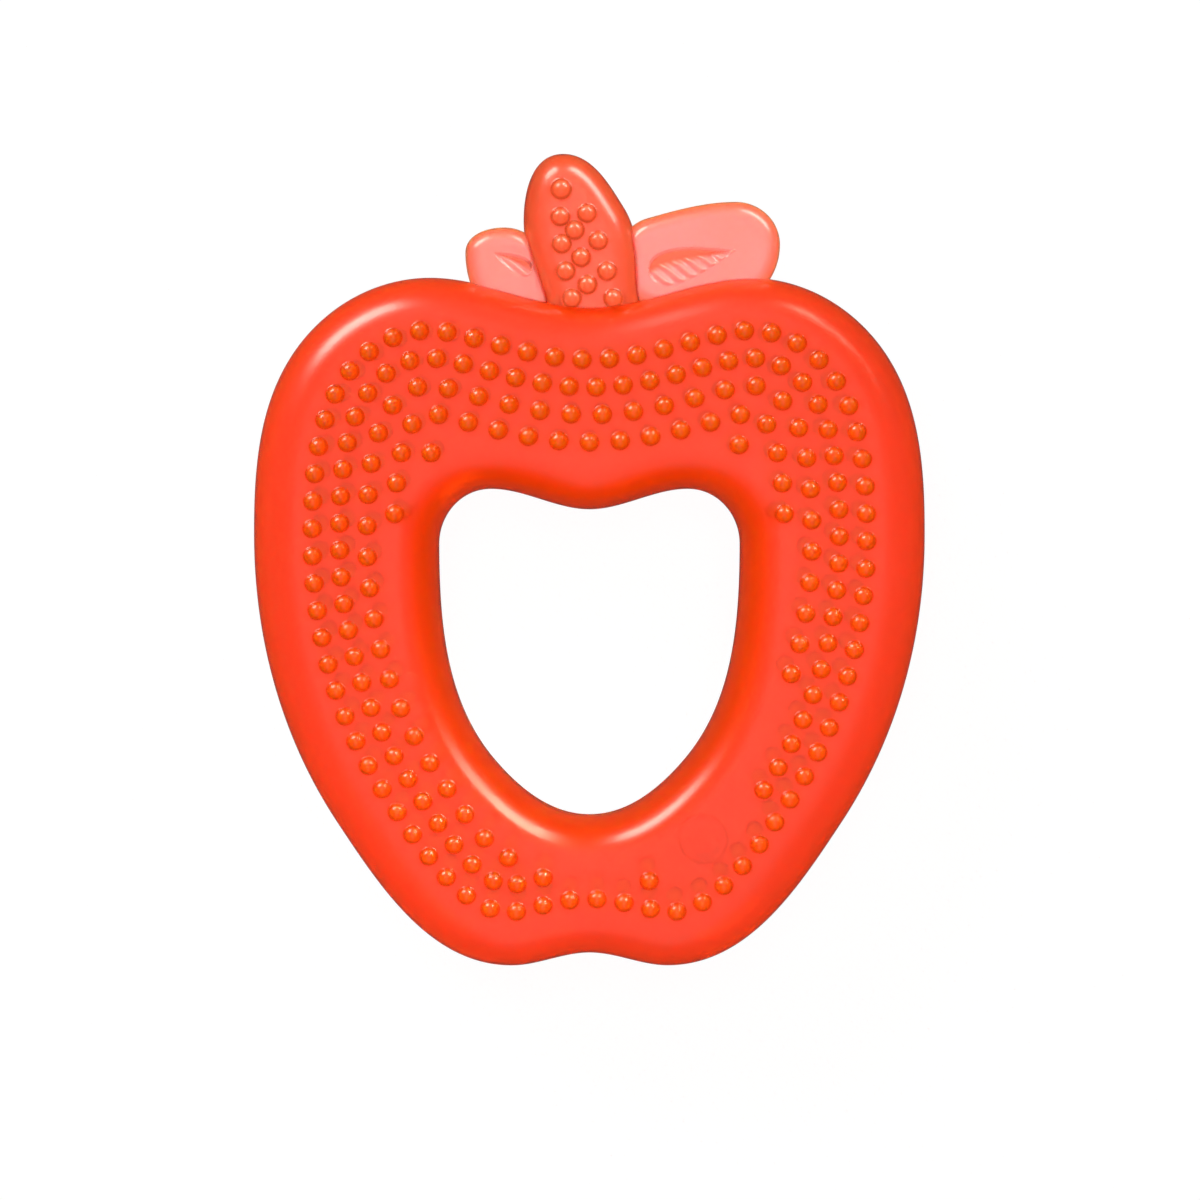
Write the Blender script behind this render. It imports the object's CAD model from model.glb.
"""Looks of a water-filled teething ring in the shape of an apple.

Every piece is a fine smooth mesh on the same outlines as its CAD solid. The outlines are drawn in
millimetres on the mid-plane of the ring, with y counted from the base of the apple and z from the seam;
to_frame() puts them into the shared frame in metres.
"""
import math

import bpy
import numpy as np
from mathutils import Matrix, Vector
from mathutils.geometry import delaunay_2d_cdt


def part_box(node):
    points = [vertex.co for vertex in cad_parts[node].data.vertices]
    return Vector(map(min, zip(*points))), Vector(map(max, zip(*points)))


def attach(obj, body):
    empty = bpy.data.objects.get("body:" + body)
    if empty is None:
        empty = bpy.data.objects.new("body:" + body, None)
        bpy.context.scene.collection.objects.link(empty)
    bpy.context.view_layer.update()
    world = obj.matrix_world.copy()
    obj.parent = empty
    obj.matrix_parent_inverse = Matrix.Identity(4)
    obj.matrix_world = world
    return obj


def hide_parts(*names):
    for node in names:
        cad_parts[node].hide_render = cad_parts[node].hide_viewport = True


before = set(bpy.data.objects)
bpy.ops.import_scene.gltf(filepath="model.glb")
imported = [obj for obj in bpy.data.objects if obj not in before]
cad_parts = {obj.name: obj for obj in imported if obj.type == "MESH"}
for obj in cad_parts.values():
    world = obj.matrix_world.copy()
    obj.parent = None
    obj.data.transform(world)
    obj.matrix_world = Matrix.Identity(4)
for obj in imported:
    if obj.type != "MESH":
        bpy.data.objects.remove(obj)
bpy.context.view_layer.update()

MM = 0.001


def node_box(name):
    return [np.array(corner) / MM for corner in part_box(name)]


# Sizes read from the frame, less the height of the bumps where a node has them
ring_low, ring_high = node_box("front_shell")
rear_high = node_box("rear_shell")[1]
stem_low, stem_high = node_box("stem")
leaf_low, leaf_high = node_box("right_leaf")
plug_low, plug_high = node_box("fill_plug")
BUMP_H = 1.0
BASE_Y = ring_low[1]
MID_Z = rear_high[2]
RING_W = ring_high[0] - ring_low[0]
RING_H = ring_high[1] - BASE_Y
HALF_T = ring_high[2] - BUMP_H - MID_Z
STEM_TOP = stem_high[1] - BASE_Y
STEM_HALF = (stem_high[2] - stem_low[2]) / 2 - BUMP_H
LEAF_HALF = (leaf_high[2] - leaf_low[2]) / 2
PORT = np.array([(plug_low[0] + plug_high[0]) / 2, (plug_low[1] + plug_high[1]) / 2 - BASE_Y])
PLUG_HEAD_R = (plug_high[0] - plug_low[0]) / 2

# Sizes that the frame doesn't give
HOLE_W, HOLE_LOW, HOLE_HIGH, HOLE_DIP = 36.8, 18.5, 58.7, 2.5
SHOULDER_X, DIP_D, WIDEST_H, LOBE_X, NOTCH_D = 19.4, 3.5, 52.6, 9.6, 1.6
WALL = 2.2
WATER_GAP = 0.2
BUMP_R = 1.05
STEM_BUMP_R = 1.1
TIP_BUMP_R = 1.2

# Outlines as [x, height above the base, heading in degrees]; the first two are right halves
RING_NODES = [
    [0, RING_H - DIP_D, 0],
    [SHOULDER_X, RING_H, 0],
    [RING_W / 2 - 5.1, RING_H - 8.9, -55],
    [RING_W / 2, WIDEST_H, -90],
    [LOBE_X + 21.5, 17.9, -123],
    [LOBE_X, 0, -180],
    [0, NOTCH_D, -180],
]
HOLE_NODES = [
    [0, HOLE_HIGH - HOLE_DIP, 0],
    [HOLE_W / 2 - 6.4, HOLE_HIGH, 0],
    [HOLE_W / 2, HOLE_HIGH - 6.8, -90],
    [HOLE_W / 2 - 6.7, HOLE_LOW + 6.9, -130],
    [0, HOLE_LOW, -180],
]
STEM_NODES = [
    [-5, RING_H - 4.6, 105],
    [-8, STEM_TOP - 8.4, 91],
    [-3.2, STEM_TOP, 0],
    [4.2, STEM_TOP - 6.5, -58],
    [6.3, RING_H - 3.8, -84],
    [0.6, RING_H - 9.6, -180],
    [-5, RING_H - 4.6, -255],
]
LEFT_LEAF_NODES = [
    [-15.1, RING_H + 3, 90],
    [-10.4, RING_H + 6.1, 0],
    [-4, RING_H - 2, -90],
    [-9.6, RING_H - 4.8, -180],
    [-15.1, RING_H + 3, -270],
]
RIGHT_LEAF_NODES = [
    [7, RING_H + 7.2, 16],
    [17.8, RING_H + 9.2, 0],
    [23.2, RING_H + 4, -90],
    [13.5, RING_H - 4.6, -180],
    [3.2, RING_H + 1.6, -270],
    [7, RING_H + 7.2, -344],
]

# Bump rows: inset, pitch, first place from the top middle, least distance from the hole, and least height
# on the right half
BUMP_ROWS = [
    (7.6, 3.31, -0.9, 8.0, 0),
    (10.9, 3.25, 0.8, 7.3, 0),
    (14.2, 3.76, 1.55, 5.8, 35),
    (17.5, 3.69, 0.0, 5.4, 0),
    (21.0, 4.4, 0.7, 6.45, 0),
]
# The rows run closer to the outline where it faces up. No row but the first comes near the port.
ROW_LIFT = 1.2
BARE_R = 7.5

# Shape of the rounded edges: reach from the outline to the flat face, and the power of the curve
OUTER_REACH, HOLE_REACH, STEM_REACH, LEAF_REACH = 6.3, 5.6, 3.9, 2.2
EDGE_POWER = 2.15
# The seam between the two skins: half width and depth of its groove
SEAM_HALF, SEAM_DEPTH = 0.14, 0.12
# How far stem and leaves run into what they grow out of
SINK = 0.2
# Reach of the crease of a leaf along the stem, and its depth as a share of half the leaf's thickness
CREASE_REACH, CREASE_DEPTH = 1.3, 0.22


# Drawing helpers

def heading(angle):
    return np.array([math.cos(math.radians(angle)), math.sin(math.radians(angle))])


def stretch(a, b, count=60):
    """Smooth curve between two outline nodes, without its last point."""
    p0, p3 = np.array(a[:2], float), np.array(b[:2], float)
    reach = np.linalg.norm(p3 - p0) / (3 * math.cos(math.radians(b[2] - a[2]) / 4) ** 2)
    p1 = p0 + reach * heading(a[2])
    p2 = p3 - reach * heading(b[2])
    t = np.linspace(0, 1, count, endpoint=False)[:, None]
    s = 1 - t
    return s**3 * p0 + 3 * s * s * t * p1 + 3 * s * t * t * p2 + t**3 * p3


def closed_curve(nodes):
    return np.concatenate([stretch(a, b) for a, b in zip(nodes, nodes[1:])])


def mirrored_curve(nodes):
    right = closed_curve(nodes)
    left = right[:0:-1] * [-1, 1]
    return np.concatenate([right, [nodes[-1][:2]], left])


def arc_lengths(loop):
    steps = np.linalg.norm(np.roll(loop, -1, 0) - loop, axis=1)
    return np.concatenate([[0], np.cumsum(steps)])


def along(loop, places):
    """Points of a closed loop at the given distances from its first point."""
    lengths = arc_lengths(loop)
    ring = np.concatenate([loop, loop[:1]])
    places = np.mod(places, lengths[-1])
    return np.stack([np.interp(places, lengths, ring[:, k]) for k in (0, 1)], 1)


def resample(loop, spacing):
    total = arc_lengths(loop)[-1]
    count = int(round(total / spacing))
    return along(loop, np.arange(count) * total / count)


def inwards(loop):
    """Unit normals of a clockwise loop, pointing to its inside."""
    t = np.roll(loop, -1, 0) - np.roll(loop, 1, 0)
    t /= np.linalg.norm(t, axis=1)[:, None]
    return np.stack([t[:, 1], -t[:, 0]], 1)


def inset(loop, d):
    return loop + d * inwards(loop)


def chunks(points, size=2000):
    for start in range(0, len(points), size):
        yield slice(start, start + size)


def loop_distance(points, loop):
    a = loop
    ab = np.roll(loop, -1, 0) - a
    length2 = (ab**2).sum(1)
    found = np.empty(len(points))
    for part in chunks(points):
        ap = points[part, None, :] - a
        t = np.clip((ap * ab).sum(2) / length2, 0, 1)
        found[part] = np.sqrt(((ap - t[..., None] * ab) ** 2).sum(2).min(1))
    return found


def inside(points, loop):
    a, b = loop, np.roll(loop, -1, 0)
    found = np.zeros(len(points), bool)
    for part in chunks(points):
        x, y = points[part, 0][:, None], points[part, 1][:, None]
        spans = (a[:, 1] > y) != (b[:, 1] > y)
        with np.errstate(divide="ignore", invalid="ignore"):
            cross = a[:, 0] + (y - a[:, 1]) * (b[:, 0] - a[:, 0]) / (b[:, 1] - a[:, 1])
        found[part] = (spans & (x < cross)).sum(1) % 2 == 1
    return found


def nearest(points, centres):
    """Distance of each point to the nearest of some centres."""
    found = np.full(len(points), np.inf)
    for part in chunks(points):
        d = points[part, None, :] - centres
        found[part] = np.sqrt((d**2).sum(2).min(1))
    return found


def smooth(x, low, high):
    t = np.clip((x - low) / (high - low), 0, 1)
    return t * t * (3 - 2 * t)


# Profiles

def rounded(d, reach):
    """Rise of a rounded edge, from 0 on the outline to 1 on the flat face."""
    t = np.clip(d / reach, 0, 1)
    return (1 - (1 - t) ** EDGE_POWER) ** (1 / EDGE_POWER)


def edge_insets(reach, count, deepest):
    """Insets at which an edge is cut into rows of even rise, from the outline to the deepest row."""
    a = np.linspace(0, math.pi / 2, count + 1)[1:]
    d = reach * (1 - np.cos(a) ** (2 / EDGE_POWER))
    return d[d < deepest]


def inset_at(share, reach):
    """Inset at which a rounded edge has risen to a share of its full height."""
    return reach * (1 - (1 - share**EDGE_POWER) ** (1 / EDGE_POWER))


# Reach of the fillet round a bump, in radii, and how far it rises
FILLET, FILLET_RISE = 1.2, 0.05


def dome(d, radius):
    """Height of a bump over its foot, with a small fillet round it."""
    r = d / radius
    ball = (radius**2 + BUMP_H**2) / (2 * BUMP_H)
    cap = np.sqrt(np.clip(ball**2 - np.minimum(d, radius) ** 2, 0, None)) - (ball - BUMP_H)
    flare = FILLET_RISE * np.clip((FILLET - r) / (FILLET - 1), 0, 1) ** 2.5
    return np.maximum(cap, 0) * (r < 1) + np.where(r < 1, FILLET_RISE * smooth(r, 0.6, 1), flare)


# Tone of the plastic: 0 on flats, where light passes straight through, then rims, the darkest lines and
# bumps. The rear bumps are darker, so that they show through the front face, and the skin among bumps is a
# little darker than a flat.
RIM, DARK, BUMP = 0.4, 0.65, 1.0
AMONG, REAR_BUMP = 0.3, 0.8
# Where the tones change, as [start, end]: round a bump in radii, from an edge in millimetres
BODY_END, FOOT_END, AMONG_END = (0.72, 0.95), (0.98, 1.14), (1.1, 2.2)
OUTER_RIM_END, OUTER_LINE_END = (0.5, 3.3), (0, 1.0)
HOLE_RIM_END, HOLE_LINE_END = (2.2, 5.0), (0.6, 3.4)
PLATE_RIM_START, PLATE_LINE_END = 0.2, (0, 0.5)
# How dark the line on the outer edge is, as a share of the way from rim to dark
OUTER_LINE = 0.4


def bump_tone(r):
    """Tone of a bump with the dark line round its foot. r is the distance from its middle in radii."""
    return (BUMP - DARK) * (1 - smooth(r, *BODY_END)) + DARK * (1 - smooth(r, *FOOT_END))


# Rings of points on a bump, in radii
BUMP_RINGS = (0.2, 0.4, 0.58, 0.73, 0.85, 0.93, 0.98, 1.02, 1.08, FILLET)
BUMP_SIDES = 22


def bump_points(centres, radius):
    a = np.arange(BUMP_SIDES) * 2 * math.pi / BUMP_SIDES
    star = [np.zeros((1, 2))]
    for k, r in enumerate(BUMP_RINGS):
        turn = a + (k % 2) * math.pi / BUMP_SIDES
        star.append(r * radius * np.stack([np.cos(turn), np.sin(turn)], 1))
    star = np.concatenate(star)
    return (centres[:, None, :] + star).reshape(-1, 2)


def hexagonal(low, high, spacing):
    rows = []
    rise = spacing * math.sqrt(3) / 2
    for k, y in enumerate(np.arange(low[1], high[1], rise)):
        x = np.arange(low[0] + (k % 2) * spacing / 2, high[0], spacing)
        rows.append(np.stack([x, np.full(len(x), y)], 1))
    return np.concatenate(rows)


# Outlines and places of the bumps

outer = mirrored_curve(RING_NODES)
hole = mirrored_curve(HOLE_NODES)
stem_outline = closed_curve(STEM_NODES)


def row_places(row, first_row):
    depth, pitch, first, from_hole, least_y = row
    normal = inwards(outer)
    lift = ROW_LIFT * np.maximum(0, -normal[:, 1]) ** 2
    curve = outer + (depth - lift)[:, None] * normal
    total = arc_lengths(curve)[-1]
    count = int(round(total / pitch))
    p = along(curve, first + np.arange(count) * total / count)
    kept = (nearest(p, hole) > from_hole) & ((p[:, 0] < 0) | (p[:, 1] > least_y))
    if not first_row:
        kept &= np.linalg.norm(p - PORT, axis=1) > BARE_R
    return p[kept]


ring_bumps = np.concatenate([row_places(row, i == 0) for i, row in enumerate(BUMP_ROWS)])

# Bumps of the stem: one at its tip, then pairs that spread and move to the right downwards, the first ones
# with their right bump raised, and one bump between each two pairs. The pairs share the stem's height above
# the ring, less PAIRS_SHORT.
STEM_PAIRS = 4
TIP_X, TIP_DROP = -3.4, 4.4
PAIR_X, PAIR_LEAN, PAIR_DROP, PAIRS_SHORT = -1.9, 0.76, 3.3, 1.9
FIRST_HALF, HALF_GROWTH, MOST_HALF = 1.6, 0.6, 2.5
RAISED_PAIRS, RIGHT_LIFT = 2, 0.4
BETWEEN_LEFT = 0.25
stem_pitch = (STEM_TOP - RING_H - PAIRS_SHORT) / STEM_PAIRS
stem_tip = np.array([TIP_X, STEM_TOP - TIP_DROP])


def pair_middle(k):
    return np.array([PAIR_X + PAIR_LEAN * k, stem_tip[1] - PAIR_DROP - stem_pitch * k])


stem_bumps = []
for k in range(STEM_PAIRS):
    half = min(MOST_HALF, FIRST_HALF + HALF_GROWTH * k)
    right_lift = RIGHT_LIFT if k < RAISED_PAIRS else 0
    stem_bumps += [pair_middle(k) - [half, 0], pair_middle(k) + [half, right_lift]]
stem_bumps += [pair_middle(k + 0.5) - [BETWEEN_LEFT, 0] for k in range(STEM_PAIRS - 1)]
stem_bumps = np.array(stem_bumps)
tip_bumps = np.array([stem_tip])


# Meshes

def triangulate(loops, points):
    """Triangles inside the first loop and outside the others. Gives the points, the triangles and, for each
    loop, where its own points are among them."""
    given = np.concatenate(list(loops) + [points])
    ends = np.cumsum([len(loop) for loop in loops])
    faces = [list(range(end - len(loop), end))[::-1] for loop, end in zip(loops, ends)]
    verts, _, tris, from_verts, _, from_faces = delaunay_2d_cdt(
        [Vector(p) for p in given], [], faces, 1, 1e-6, True)
    flat = np.array([v[:] for v in verts])
    kept = np.array([t for t, owners in zip(tris, from_faces) if list(owners) == [0]])
    a, b, c = (flat[kept[:, k]] for k in range(3))
    area = (b[:, 0] - a[:, 0]) * (c[:, 1] - a[:, 1]) - (b[:, 1] - a[:, 1]) * (c[:, 0] - a[:, 0])
    kept[area < 0] = kept[area < 0][:, ::-1]
    place = np.full(len(given), -1)
    for new, olds in enumerate(from_verts):
        for old in olds:
            place[old] = new
    return flat, kept, [place[end - len(loop):end] for loop, end in zip(loops, ends)]


def to_frame(points):
    return (np.asarray(points) + [0, BASE_Y, MID_Z]) * MM


def make_piece(name, points, faces, material, replaced, tone=None):
    """A smooth mesh piece from points in millimetres, with the tone of its plastic at each point."""
    mesh = bpy.data.meshes.new(name)
    mesh.from_pydata(to_frame(points).tolist(), [], [list(map(int, f)) for f in faces])
    if tone is not None:
        layer = mesh.attributes.new("tone", "FLOAT", "POINT")
        layer.data.foreach_set("value", np.asarray(tone, np.float32))
    mesh.polygons.foreach_set("use_smooth", [True] * len(mesh.polygons))
    mesh.validate()
    mesh.materials.append(material)
    piece = bpy.data.objects.new(name, mesh)
    bpy.context.scene.collection.objects.link(piece)
    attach(piece, "root")
    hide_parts(replaced)
    return piece


def used_only(points, faces, tone):
    """Drops points that no face uses."""
    used = np.unique(np.concatenate([np.ravel(f) for f in faces]))
    place = np.full(len(points), -1)
    place[used] = np.arange(len(used))
    return points[used], [[place[i] for i in f] for f in faces], tone[used]


# Mesh of the ring: steps along its edges, rows on each rounded edge and how far in they go, and the points
# between, which keep a margin
OUTER_STEP, HOLE_STEP = 0.45, 0.36
EDGE_ROWS = 18
OUTER_ROWS_TO, HOLE_ROWS_TO = 4.7, 3.9
RING_FILL = 0.8
FILL_MARGIN = 0.45 * RING_FILL
ring_loop = resample(outer, OUTER_STEP)
hole_loop = resample(hole, HOLE_STEP)
# Seat of the plug's head: its rounded edge, and the groove between edge and head
SEAT_R = PLUG_HEAD_R + 0.1
SEAT_SIDES = 56
SEAT_EDGE = 0.25
SEAT_ROWS = (0.06, 0.15, 0.3, 0.5)
PLUG_GROOVE = 0.3
GROOVE_OUTER_R, GROOVE_INNER_R = SEAT_R - 0.02, PLUG_HEAD_R - 0.1


def circle(centre, radius, sides):
    """Clockwise, as the other loops are."""
    a = -np.arange(sides) * 2 * math.pi / sides
    return centre + radius * np.stack([np.cos(a), np.sin(a)], 1)


def ring_height(p, has_port):
    u, v = loop_distance(p, ring_loop), loop_distance(p, hole_loop)
    rise = rounded(u, OUTER_REACH) * rounded(v, HOLE_REACH)
    bump = nearest(p, ring_bumps)
    z = SEAM_HALF + (HALF_T - SEAM_HALF) * rise + dome(bump, BUMP_R)
    if has_port:
        z -= SEAT_EDGE * (1 - rounded(np.linalg.norm(p - PORT, axis=1) - SEAT_R, 2 * SEAT_EDGE))
    outer_line = OUTER_LINE * (DARK - RIM) * (1 - smooth(u, *OUTER_LINE_END))
    outer_tone = RIM * (1 - smooth(u, *OUTER_RIM_END)) + outer_line
    hole_tone = RIM * (1 - smooth(v, *HOLE_RIM_END)) + (DARK - RIM) * (1 - smooth(v, *HOLE_LINE_END))
    bumps_tone = np.minimum(bump_tone(bump / BUMP_R), REAR_BUMP if has_port else BUMP)
    among_tone = AMONG * (1 - smooth(bump / BUMP_R, *AMONG_END))
    return z, np.max([bumps_tone, among_tone, outer_tone, hole_tone], axis=0)


def ring_skin(name, side, material, replaced):
    """Half of the ring's skin: its flat face with bumps, and its rounded edges down to the seam."""
    has_port = side < 0
    rows = [inset(ring_loop, d) for d in edge_insets(OUTER_REACH, EDGE_ROWS, OUTER_ROWS_TO)]
    rows += [inset(hole_loop, -d) for d in edge_insets(HOLE_REACH, EDGE_ROWS, HOLE_ROWS_TO)]
    loops = [ring_loop, hole_loop]
    fill = hexagonal(ring_loop.min(0), ring_loop.max(0), RING_FILL)
    clear = inside(fill, ring_loop) & ~inside(fill, hole_loop)
    clear &= loop_distance(fill, ring_loop) > OUTER_ROWS_TO + FILL_MARGIN
    clear &= loop_distance(fill, hole_loop) > HOLE_ROWS_TO + FILL_MARGIN
    clear &= nearest(fill, ring_bumps) > FILLET * BUMP_R + FILL_MARGIN
    if has_port:
        loops.append(circle(PORT, SEAT_R, SEAT_SIDES))
        rows += [circle(PORT, SEAT_R + d, SEAT_SIDES) for d in SEAT_ROWS]
        clear &= np.linalg.norm(fill - PORT, axis=1) > SEAT_R + SEAT_ROWS[-1] + FILL_MARGIN
    free = np.concatenate(rows + [bump_points(ring_bumps, BUMP_R), fill[clear]])
    flat, tris, own = triangulate(loops, free)
    z, tone = ring_height(flat, has_port)
    points = np.column_stack([flat, z])
    faces = tris.tolist()
    # Each rim turns in to the bottom of the groove at the seam. Round the plug a groove goes down to under
    # its head. A strip is its upper points, its lower loop, the height of that and the way it turns.
    strips = [
        (own[0], inset(ring_loop, SEAM_DEPTH), 0.0, 1),
        (own[1], inset(hole_loop, -SEAM_DEPTH), 0.0, -1),
    ]
    if has_port:
        groove = HALF_T - PLUG_GROOVE
        lip = len(points) + len(ring_loop) + len(hole_loop) + np.arange(SEAT_SIDES)
        strips.append((own[2], circle(PORT, GROOVE_OUTER_R, SEAT_SIDES), groove, -1))
        strips.append((lip, circle(PORT, GROOVE_INNER_R, SEAT_SIDES), groove, -1))
    for rim, loop, height, turn in strips:
        n = len(loop)
        end = len(points) + np.arange(n)
        points = np.concatenate([points, np.column_stack([loop, np.full(n, height)])])
        tone = np.concatenate([tone, np.full(n, DARK)])
        for i in range(n):
            j = (i + 1) % n
            faces.append([rim[i], rim[j], end[j], end[i]][::turn])
    if side < 0:
        points = points * [1, 1, -1]
        faces = [f[::-1] for f in faces]
    points, faces, tone = used_only(points, faces, tone)
    make_piece(name, points, faces, material, replaced, tone)


# Spacing of the free points on the faces of stem and leaves
STEM_FILL, LEAF_FILL = 0.5, 0.4
# Mesh of a plate: step along its outline, rows on its rounded rim and how far in they go as a share of it,
# and the least distance of free points from a cut
PLATE_STEP, PLATE_ROWS, PLATE_ROWS_TO, CUT_MARGIN = 0.3, 11, 0.97, 0.06
SHARP_ANGLE = math.radians(60)


def plate(name, outline, cuts, reach, half, relief, extra, fill_step,
          material, replaced, crease=None):
    """A thick plate with rounded rims, alike on both faces and cut off where it grows out of others. relief
    gives the rise and tone of its face at points, and extra is the points that this needs."""
    loop = resample(outline, PLATE_STEP)
    rows = [inset(loop, d) for d in edge_insets(reach, PLATE_ROWS, PLATE_ROWS_TO * reach)]
    fill = hexagonal(loop.min(0), loop.max(0), fill_step)
    fill = fill[inside(fill, loop)]
    fill = fill[loop_distance(fill, loop) > reach + 0.4 * fill_step]
    fill = fill[nearest(fill, extra) > 0.7 * fill_step]
    free = np.concatenate(rows + [extra, fill])
    for cut in cuts:
        free = free[~inside(free, cut) & (loop_distance(free, cut) > CUT_MARGIN)]
    flat, tris, _ = triangulate([loop] + cuts, free)
    u = loop_distance(flat, loop)
    rise, tone = relief(flat)
    line = (DARK - RIM) * (1 - smooth(u, *PLATE_LINE_END))
    tone = np.maximum(tone, RIM * (1 - smooth(u, PLATE_RIM_START, reach)) + line)
    height = half * rounded(u, reach)
    if crease is not None:
        v = loop_distance(flat, crease)
        height *= 1 - CREASE_DEPTH * (1 - rounded(v, CREASE_REACH))
        tone = np.maximum(tone, RIM * (1 - smooth(v, 0.0, 0.5 * CREASE_REACH)))
    z = height + rise
    n = len(flat)
    points = np.concatenate([np.column_stack([flat, z]), np.column_stack([flat, -z])])
    low = np.arange(n) + n
    rim = u < 1e-5
    low[rim] = np.arange(n)[rim]
    edges = {}
    for t in tris:
        for i, j in ((t[0], t[1]), (t[1], t[2]), (t[2], t[0])):
            edges[i, j] = True
    walls = []
    for i, j in edges:
        if (j, i) not in edges and not (rim[i] and rim[j]):
            walls.append(list(dict.fromkeys([j, i, low[i], low[j]])))
    faces = tris.tolist() + [[low[t[2]], low[t[1]], low[t[0]]] for t in tris] + walls
    points, faces, tone = used_only(points, faces, np.concatenate([tone, tone]))
    piece = make_piece(name, points, faces, material, replaced, tone)
    piece.data.set_sharp_from_angle(angle=SHARP_ANGLE)


# Materials

def material(name):
    made = bpy.data.materials.new(name)
    made.use_nodes = True
    tree = made.node_tree
    tree.nodes.clear()
    out = tree.nodes.new("ShaderNodeOutputMaterial")
    return made, tree, out


# Roughness of the soft gloss on the skin, and the share of light that passes into the plastic
SKIN_GLOSS, PASSING = 0.28, 0.75
# Clouds in the plastic, a centimetre or so across, and their highest tone
CLOUD_SCALE, CLOUD_TONE = 70, 0.12
# Grain of the skin: how far it changes the roughness, and its ripples, with their depth in metres
GRAIN_SCALE, GRAIN_SPREAD, RIPPLE_STRENGTH, RIPPLE_DEPTH = 260, 0.2, 0.12, 0.00004


def soft_plastic(name, clear, rim, dark, bump, roughness, radius_mm):
    """Soft see-through plastic, in four colours by its tone."""
    made, tree, out = material(name)
    new, link = tree.nodes.new, tree.links.new
    shader = new("ShaderNodeBsdfPrincipled")
    link(shader.outputs["BSDF"], out.inputs["Surface"])
    place = new("ShaderNodeTexCoord")
    # Clouds of slightly denser colour
    clouds = new("ShaderNodeTexNoise")
    clouds.inputs["Scale"].default_value = CLOUD_SCALE
    clouds.inputs["Detail"].default_value = 3
    link(place.outputs["Object"], clouds.inputs["Vector"])
    cloud = new("ShaderNodeMapRange")
    cloud.inputs["From Min"].default_value = 0.3
    cloud.inputs["From Max"].default_value = 0.7
    cloud.inputs["To Max"].default_value = CLOUD_TONE
    link(clouds.outputs["Fac"], cloud.inputs["Value"])
    tone = new("ShaderNodeAttribute")
    tone.attribute_name = "tone"
    denser = new("ShaderNodeMath")
    denser.operation = "MAXIMUM"
    link(cloud.outputs["Result"], denser.inputs[0])
    link(tone.outputs["Fac"], denser.inputs[1])
    tint = new("ShaderNodeValToRGB")
    tint.color_ramp.elements[0].color = (*clear, 1)
    tint.color_ramp.elements[1].color = (*bump, 1)
    for stop, colour in ((RIM, rim), (DARK, dark)):
        tint.color_ramp.elements.new(stop).color = (*colour, 1)
    link(denser.outputs[0], tint.inputs["Fac"])
    link(tint.outputs["Color"], shader.inputs["Base Color"])
    # Gloss that is a little uneven, as on a moulding
    grain = new("ShaderNodeTexNoise")
    grain.inputs["Scale"].default_value = GRAIN_SCALE
    grain.inputs["Detail"].default_value = 4
    link(place.outputs["Object"], grain.inputs["Vector"])
    gloss = new("ShaderNodeMapRange")
    gloss.inputs["To Min"].default_value = (1 - GRAIN_SPREAD) * roughness
    gloss.inputs["To Max"].default_value = (1 + GRAIN_SPREAD) * roughness
    link(grain.outputs["Fac"], gloss.inputs["Value"])
    link(gloss.outputs["Result"], shader.inputs["Roughness"])
    ripple = new("ShaderNodeBump")
    ripple.inputs["Strength"].default_value = RIPPLE_STRENGTH
    ripple.inputs["Distance"].default_value = RIPPLE_DEPTH
    link(grain.outputs["Fac"], ripple.inputs["Height"])
    link(ripple.outputs["Normal"], shader.inputs["Normal"])
    # Haze inside bends light less than a clear solid would. The gloss is a soft one on the skin.
    shader.inputs["IOR"].default_value = 1.12
    shader.inputs["Specular IOR Level"].default_value = 0.0
    shader.inputs["Coat Weight"].default_value = 1.0
    shader.inputs["Coat Roughness"].default_value = SKIN_GLOSS
    shader.inputs["Coat IOR"].default_value = 1.5
    shader.inputs["Transmission Weight"].default_value = PASSING
    shader.inputs["Subsurface Weight"].default_value = 1.0
    shader.inputs["Subsurface Radius"].default_value = (1.0, 0.3, 0.15)
    shader.inputs["Subsurface Scale"].default_value = radius_mm * MM
    return made


def clear_water(name):
    """Water in the skin. Its edge against that hardly bends light, so light only passes, faintly tinted."""
    made, tree, out = material(name)
    new, link = tree.nodes.new, tree.links.new
    place = new("ShaderNodeTexCoord")
    drift = new("ShaderNodeTexNoise")
    drift.inputs["Scale"].default_value = 40
    link(place.outputs["Object"], drift.inputs["Vector"])
    tint = new("ShaderNodeValToRGB")
    tint.color_ramp.elements[0].color = (0.96, 0.95, 0.95, 1)
    tint.color_ramp.elements[1].color = (1, 0.99, 0.99, 1)
    link(drift.outputs["Fac"], tint.inputs["Fac"])
    clear = new("ShaderNodeBsdfTransparent")
    link(tint.outputs["Color"], clear.inputs["Color"])
    link(clear.outputs["BSDF"], out.inputs["Surface"])
    return made


# Colours of flats, rims, darkest lines and bumps
RED = ((1.0, 0.066, 0.023), (0.9, 0.056, 0.0005), (0.62, 0.048, 0.0005), (1.0, 0.13, 0.0005))
ring_material = soft_plastic("soft_red_skin", *RED, roughness=0.1, radius_mm=4)
plug_material = soft_plastic("soft_red_plug", *RED, roughness=0.12, radius_mm=2)
STEM_RED = ((1.0, 0.14, 0.078), (0.7, 0.085, 0.02), (0.45, 0.035, 0.003), (1.0, 0.14, 0.05))
stem_material = soft_plastic("soft_red_stem", *STEM_RED, roughness=0.1, radius_mm=4)
LEAF_PINK = ((1.0, 0.31, 0.29), (0.95, 0.18, 0.09), (0.66, 0.2, 0.04), (0.95, 0.18, 0.09))
leaf_material = soft_plastic("soft_pink_leaf", *LEAF_PINK, roughness=0.1, radius_mm=3)
water_material = clear_water("clear_water")


# Pieces

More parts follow.
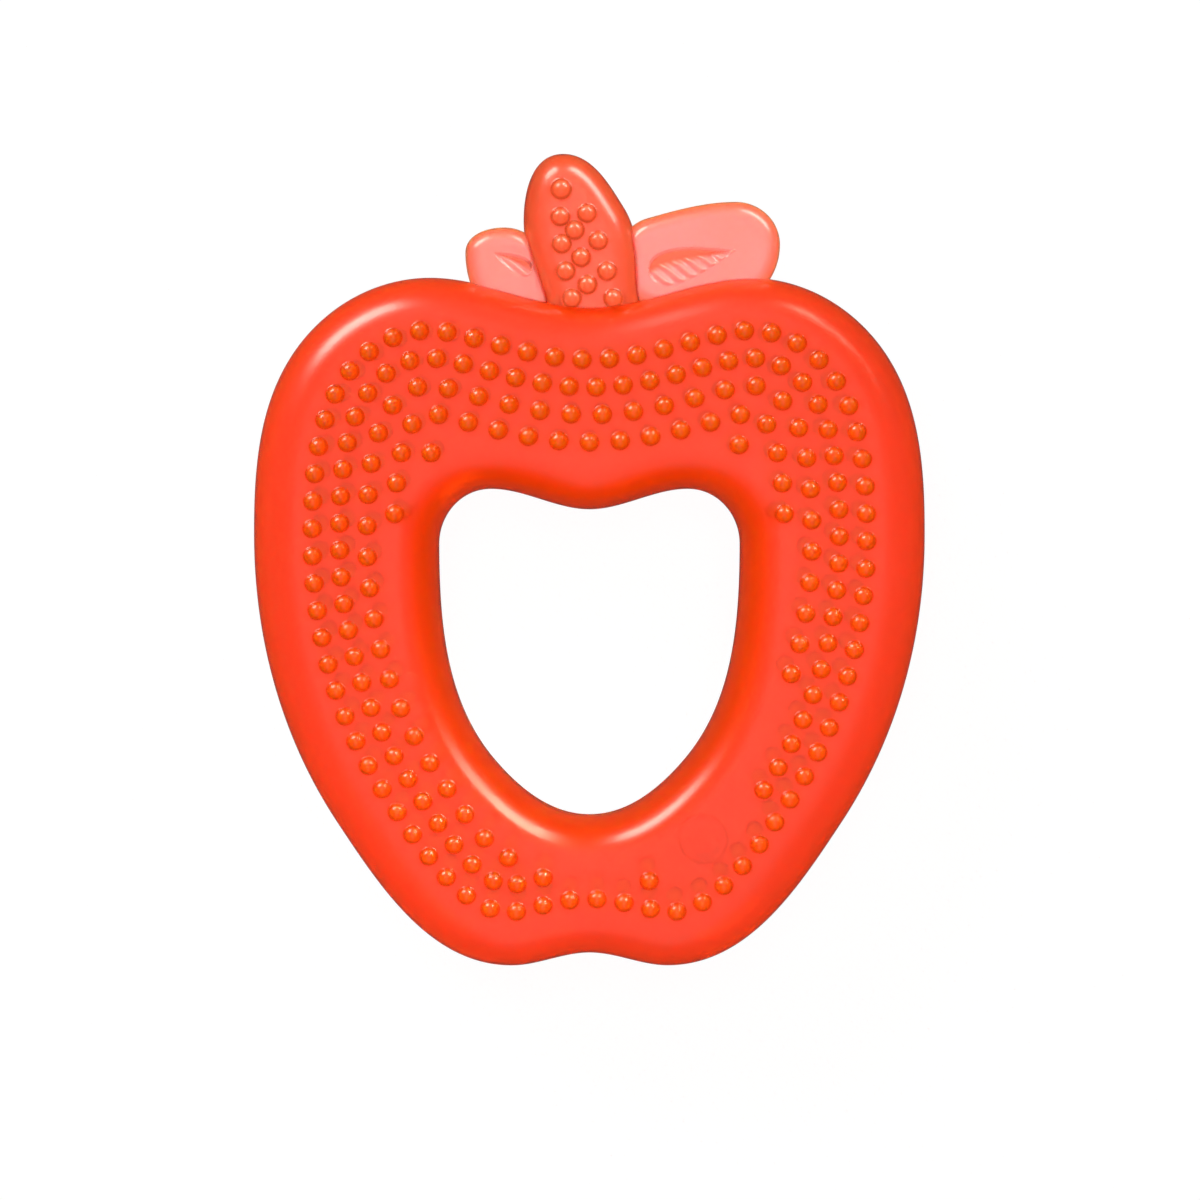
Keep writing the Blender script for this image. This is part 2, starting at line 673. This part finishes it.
ring_skin("ring_front", 1, ring_material, "front_shell")
ring_skin("ring_rear", -1, ring_material, "rear_shell")

ring_cut = inset(ring_loop, SINK)
stem_cut = inset(resample(stem_outline, PLATE_STEP), inset_at(LEAF_HALF / STEM_HALF, STEM_REACH))


def stem_relief(p):
    bump, tip = nearest(p, stem_bumps), nearest(p, tip_bumps)
    tone = np.maximum(bump_tone(bump / STEM_BUMP_R), bump_tone(tip / TIP_BUMP_R))
    return dome(bump, STEM_BUMP_R) + dome(tip, TIP_BUMP_R), tone


stem_points = np.concatenate([bump_points(stem_bumps, STEM_BUMP_R), bump_points(tip_bumps, TIP_BUMP_R)])
plate("stem_body", stem_outline, [ring_cut], STEM_REACH, STEM_HALF, stem_relief,
      stem_points, STEM_FILL, stem_material, "stem")


# Ridges in the leaf figures, which run down to the right in front view
RIDGE_PITCH, RIDGE_RISE = 1.3, 0.4
RIDGE_ACROSS = heading(50)
# Outline of a figure: its bow as a share of its breadth, and the powers of its pointed and its blunt end
BOW, POINT_POWER, BLUNT_POWER = 0.43, 1.1, 0.4
# Width of the steep wall under the upper edge, and ranges across the figure, from 0 at that edge to 1:
# where the floor rises, where the ridges start and end, and where the shade ends
FIGURE_WALL = 0.5
FLOOR_RISES, RIDGES_START, RIDGES_END, SHADE_ENDS = (0.2, 1.1), (0.25, 0.5), (0.85, 1.0), (0.3, 0.6)
# Spacing of the points on a figure, and how far they go beyond it
FIGURE_STEP, FIGURE_MARGIN = 0.12, 0.3


def vein_figure(place, turn, long, broad, deep, blunt):
    """A sunk leaf figure with its blunt end on one side (1 or -1): deep under its upper edge, rising to its
    lower one, with slanting ridges."""
    axis, across = heading(turn), heading(turn + 90)

    def relief(p):
        x, y = (p - place) @ axis, (p - place) @ across
        s = np.clip(2 * blunt * x / long, -1, 1)
        bow = BOW * broad * (1 - s) ** POINT_POWER * (1 + s) ** BLUNT_POWER
        within = np.abs(y) < bow
        t = np.clip((bow - y) / np.maximum(2 * bow, 1e-6), 0, 1)
        wall = smooth(bow - y, 0, FIGURE_WALL)
        slope = 1 - smooth(t, *FLOOR_RISES)
        ridge = 0.5 + 0.5 * np.cos((p - place) @ RIDGE_ACROSS * 2 * math.pi / RIDGE_PITCH)
        raised = RIDGE_RISE * ridge * smooth(t, *RIDGES_START) * (1 - smooth(t, *RIDGES_END))
        tone = RIM * wall * (1 - smooth(t, *SHADE_ENDS))
        return (raised - deep * wall * slope) * within, tone * within

    corner = np.array([long / 2 + FIGURE_MARGIN, broad / 2 + FIGURE_MARGIN])
    box = hexagonal(-corner, corner, FIGURE_STEP)
    return relief, place + box[:, :1] * axis + box[:, 1:] * across


left_relief, left_points = vein_figure(
    np.array([-9.4, RING_H + 1.9]), turn=-27, long=5.2, broad=2.4, deep=0.8, blunt=-1)
right_relief, right_points = vein_figure(
    np.array([12.5, RING_H + 1.9]), turn=15, long=10.8, broad=4.4, deep=0.9, blunt=1)
plate("leaf_left", closed_curve(LEFT_LEAF_NODES), [ring_cut, stem_cut], LEAF_REACH, LEAF_HALF,
      left_relief, left_points, LEAF_FILL, leaf_material, "left_leaf", stem_cut)
plate("leaf_right", closed_curve(RIGHT_LEAF_NODES), [ring_cut, stem_cut], LEAF_REACH, LEAF_HALF,
      right_relief, right_points, LEAF_FILL, leaf_material, "right_leaf", stem_cut)


def lathe(profile, sides):
    """Points and faces of a closed turned piece from [radius, z] pairs that start and end on the axis."""
    a = np.arange(sides) * 2 * math.pi / sides
    points, faces = [(0, 0, profile[0][1])], []
    for r, z in profile[1:-1]:
        points += [(r * math.cos(t), r * math.sin(t), z) for t in a]
    points.append((0, 0, profile[-1][1]))
    rings = len(profile) - 2
    for i in range(sides):
        j = (i + 1) % sides
        faces.append([0, 1 + j, 1 + i])
        for k in range(rings - 1):
            b = 1 + k * sides
            faces.append([b + i, b + j, b + sides + j, b + sides + i])
        b = 1 + (rings - 1) * sides
        faces.append([b + i, b + j, len(points) - 1])
    return np.array(points), faces


# The plug, from the dimple in the middle of its head to the barb inside the ring, as [radius, depth below
# the rear face]
PLUG_SIDES = 48
PLUG_PROFILE = [
    (0, 0.3), (0.25, 0.28), (0.5, 0.2), (0.68, 0.08), (0.85, 0.02), (1.4, 0.0), (2.1, 0.0), (2.55, 0.02),
    (2.8, 0.09), (2.93, 0.22), (2.97, 0.4), (2.97, 0.9), (2.9, 1.0), (1.7, 1.0), (1.6, 1.1), (1.6, 4.6),
    (2.0, 4.7), (2.0, 4.85), (1.15, 5.85), (0, 5.9),
]
plug_points, plug_faces = lathe([(r, d - HALF_T) for r, d in PLUG_PROFILE], PLUG_SIDES)
plug_points[:, :2] += PORT
plug_tone = np.zeros(len(plug_points))
plug = make_piece("plug", plug_points, plug_faces, plug_material, "fill_plug", plug_tone)
# Inside the ring the plug is welded to plastic of its own kind, so no light is bent at its surface there
plug.data.materials.append(water_material)
for face in plug.data.polygons:
    face.material_index = int(face.center.z / MM > MID_Z - HALF_T + PLUG_GROOVE)


# The water keeps further from the outline near the top of the ring, where stem and leaves grow into it
WATER_TOP_GAP, WATER_TOP_FROM, WATER_TOP_TO = 3.6, RING_H - 12, RING_H - 4
# Power of the water's rounded section, where 1 would be an ellipse
WATER_BULGE = 0.7


def water_body(sides=28, stations=300):
    """The water: the room inside the skin, as rows round the ring that bulge like the skin does."""
    rim = resample(outer, arc_lengths(outer)[-1] / stations)
    core = along(hole, np.arange(stations) * arc_lengths(hole)[-1] / stations)
    gap = WALL + WATER_GAP
    top = smooth(rim[:, 1], WATER_TOP_FROM, WATER_TOP_TO)[:, None]
    start, end = inset(rim, gap + WATER_TOP_GAP * top), inset(core, -gap)
    a = np.arange(sides) * 2 * math.pi / sides
    squeeze = [np.sign(w) * np.abs(w) ** WATER_BULGE for w in (np.cos(a), np.sin(a))]
    points = []
    for s, e in zip(start, end):
        for c, h in zip(*squeeze):
            q = (s + e) / 2 + (s - e) / 2 * c
            points.append((q[0], q[1], h * (HALF_T - gap)))
    faces = []
    for i in range(stations):
        for k in range(sides):
            b, c = i * sides, ((i + 1) % stations) * sides
            m = (k + 1) % sides
            faces.append([b + k, b + m, c + m, c + k])
    return np.array(points), faces


water_points, water_faces = water_body()
make_piece("water", water_points, water_faces, water_material, "water_fill")


# Floor, light and camera

FLOOR_SIZE, FLOOR_GREY = 6.0, (0.05, 0.05, 0.05, 1)
# How brightly the floor glows for what is seen directly, through the plastic and in reflections
FLOOR_GLOW = (("Is Camera Ray", 0.96), ("Is Transmission Ray", 1.0), ("Is Glossy Ray", 0.02))


def floor_plane(size):
    mesh = bpy.data.meshes.new("floor")
    h = size / 2
    mesh.from_pydata([(-h, -h, 0), (h, -h, 0), (h, h, 0), (-h, h, 0)], [], [(0, 1, 2, 3)])
    floor = bpy.data.objects.new("floor", mesh)
    bpy.context.scene.collection.objects.link(floor)
    made, tree, out = material("floor_white")
    new, link = tree.nodes.new, tree.links.new
    diffuse = new("ShaderNodeBsdfDiffuse")
    diffuse.inputs["Color"].default_value = FLOOR_GREY
    glow = new("ShaderNodeEmission")
    path = new("ShaderNodeLightPath")
    total = None
    for ray, level in FLOOR_GLOW:
        share = new("ShaderNodeMath")
        share.operation = "MULTIPLY_ADD"
        link(path.outputs[ray], share.inputs[0])
        share.inputs[1].default_value = level
        share.inputs[2].default_value = 0
        if total:
            link(total.outputs[0], share.inputs[2])
        total = share
    link(total.outputs[0], glow.inputs["Strength"])
    both = new("ShaderNodeAddShader")
    link(diffuse.outputs[0], both.inputs[0])
    link(glow.outputs[0], both.inputs[1])
    link(both.outputs[0], out.inputs["Surface"])
    mesh.materials.append(made)


floor_plane(FLOOR_SIZE)


# The bright patch overhead: its middle, factors that make it narrower (over 1) or longer (under 1) along
# each axis, and its brightness by the cosine of the angle to its middle
PATCH_TOWARDS = (0, -0.08, 1)
PATCH_SQUEEZE = (1.2, 0.3, 1.0)
PATCH_LEVELS = [(0.0, 0.03), (0.7, 0.05), (0.88, 0.22), (0.945, 0.66), (1.0, 0.66)]


def studio_world(towards, levels):
    """White to the camera and through the plastic. Otherwise dim, with the bright patch overhead."""
    world = bpy.data.worlds.new("studio")
    bpy.context.scene.world = world
    world.use_nodes = True
    tree = world.node_tree
    tree.nodes.clear()
    new, link = tree.nodes.new, tree.links.new
    out = new("ShaderNodeOutputWorld")
    back = new("ShaderNodeBackground")
    path = new("ShaderNodeLightPath")
    place = new("ShaderNodeTexCoord")
    squeeze, unit, facing = (new("ShaderNodeVectorMath") for _ in range(3))
    squeeze.operation = "MULTIPLY"
    squeeze.inputs[1].default_value = PATCH_SQUEEZE
    link(place.outputs["Generated"], squeeze.inputs[0])
    unit.operation = "NORMALIZE"
    link(squeeze.outputs["Vector"], unit.inputs[0])
    facing.operation = "DOT_PRODUCT"
    facing.inputs[1].default_value = Vector(towards).normalized()
    link(unit.outputs["Vector"], facing.inputs[0])
    sky = new("ShaderNodeValToRGB")
    link(facing.outputs["Value"], sky.inputs["Fac"])
    ramp = sky.color_ramp
    for k, (cosine, level) in enumerate(levels):
        stop = ramp.elements[k] if k < 2 else ramp.elements.new(cosine)
        stop.position = cosine
        stop.color = (level, level, level, 1)
    seen = new("ShaderNodeMix")
    seen.data_type = "RGBA"
    direct = new("ShaderNodeMath")
    direct.operation = "MAXIMUM"
    link(path.outputs["Is Camera Ray"], direct.inputs[0])
    link(path.outputs["Is Transmission Ray"], direct.inputs[1])
    link(direct.outputs[0], seen.inputs["Factor"])
    link(sky.outputs["Color"], seen.inputs[6])
    seen.inputs[7].default_value = (1, 1, 1, 1)
    link(seen.outputs[2], back.inputs["Color"])
    link(back.outputs[0], out.inputs["Surface"])


studio_world(PATCH_TOWARDS, PATCH_LEVELS)


WARM_WHITE = (1.0, 0.94, 0.84)
PALE_GOLD = (1.0, 0.86, 0.62)


def softbox(name, azimuth, elevation, distance, width, height, brightness, target,
            spread=180, mirrored=True, only=None, tint=WARM_WHITE):
    """A soft lamp of the given brightness, where white is 1. A grid in front of it narrows its spread."""
    data = bpy.data.lights.new(name, "AREA")
    data.shape = "RECTANGLE"
    data.size, data.size_y = width, height
    data.color = tint
    half = math.radians(spread) / 2
    # Behind a grid the same energy gives a brighter middle
    gain = 1 if spread == 180 else math.tan(half) / (math.tan(half) - half)
    data.energy = brightness * math.pi * width * height / gain
    data.spread = 2 * half
    lamp = bpy.data.objects.new(name, data)
    a, e = math.radians(azimuth), math.radians(elevation)
    way = Vector((math.cos(e) * math.cos(a), math.cos(e) * math.sin(a), math.sin(e)))
    lamp.location = Vector(target) + way * distance
    lamp.rotation_euler = way.to_track_quat("Z", "Y").to_euler()
    lamp.visible_glossy = mirrored
    if only:
        lamp.light_linking.receiver_collection = only
    bpy.context.scene.collection.objects.link(lamp)


CENTRE = (0, 0, MID_Z * MM)
HOLE_LOW_LEFT = (-0.0115, -0.0295, 0.0125)
STEM_PLACE = (0.005, 0.045, 0.0125)
crown = bpy.data.collections.new("crown")
for name in ("stem_body", "leaf_left", "leaf_right"):
    crown.objects.link(bpy.data.objects[name])
# Distances of the lamps from what they light
FAR, NEAR = 0.6, 0.2
softbox("softbox_left", azimuth=126, elevation=24, distance=FAR, width=0.36, height=0.2, brightness=18,
        target=CENTRE)
softbox("softbox_top", azimuth=90, elevation=80, distance=FAR, width=0.5, height=0.5, brightness=3.2,
        target=CENTRE, mirrored=False)
# Small lamps with a grid, for the highlight on the lower left edge of the hole
STRIP_SIZE, STRIP_SPREAD = 0.04, 13
for k, (azimuth, brightness) in enumerate(((32, 30), (45, 60), (58, 66))):
    for elevation in (23, 36):
        softbox(f"strip_{k}_{elevation}", azimuth, elevation, NEAR, STRIP_SIZE, STRIP_SIZE, brightness,
                HOLE_LOW_LEFT, STRIP_SPREAD, tint=PALE_GOLD)
softbox("softbox_crown", azimuth=52, elevation=25, distance=FAR, width=0.5, height=0.2, brightness=16,
        target=STEM_PLACE, only=crown)
softbox("pin_right", azimuth=64, elevation=20, distance=FAR, width=0.11, height=0.1, brightness=9,
        target=CENTRE, tint=PALE_GOLD)

CAMERA_AT = Vector((0.0, 0.028, 0.458))
LOOKS_AT = Vector((0.00129, -0.00465, MID_Z * MM))
# Width of the square frame at the place looked at
FRAME_WIDTH = 0.1471
SENSOR_WIDTH = 36
camera_data = bpy.data.cameras.new("camera")
camera_data.sensor_width = SENSOR_WIDTH
camera_data.lens = SENSOR_WIDTH * (CAMERA_AT - LOOKS_AT).length / FRAME_WIDTH
camera = bpy.data.objects.new("camera", camera_data)
camera.location = CAMERA_AT
back = (CAMERA_AT - LOOKS_AT).normalized()
right = Vector((0, 1, 0)).cross(back).normalized()
camera.rotation_euler = Matrix((right, back.cross(right), back)).transposed().to_euler()
bpy.context.scene.collection.objects.link(camera)
bpy.context.scene.camera = camera

bpy.context.scene.view_settings.view_transform = "Standard"
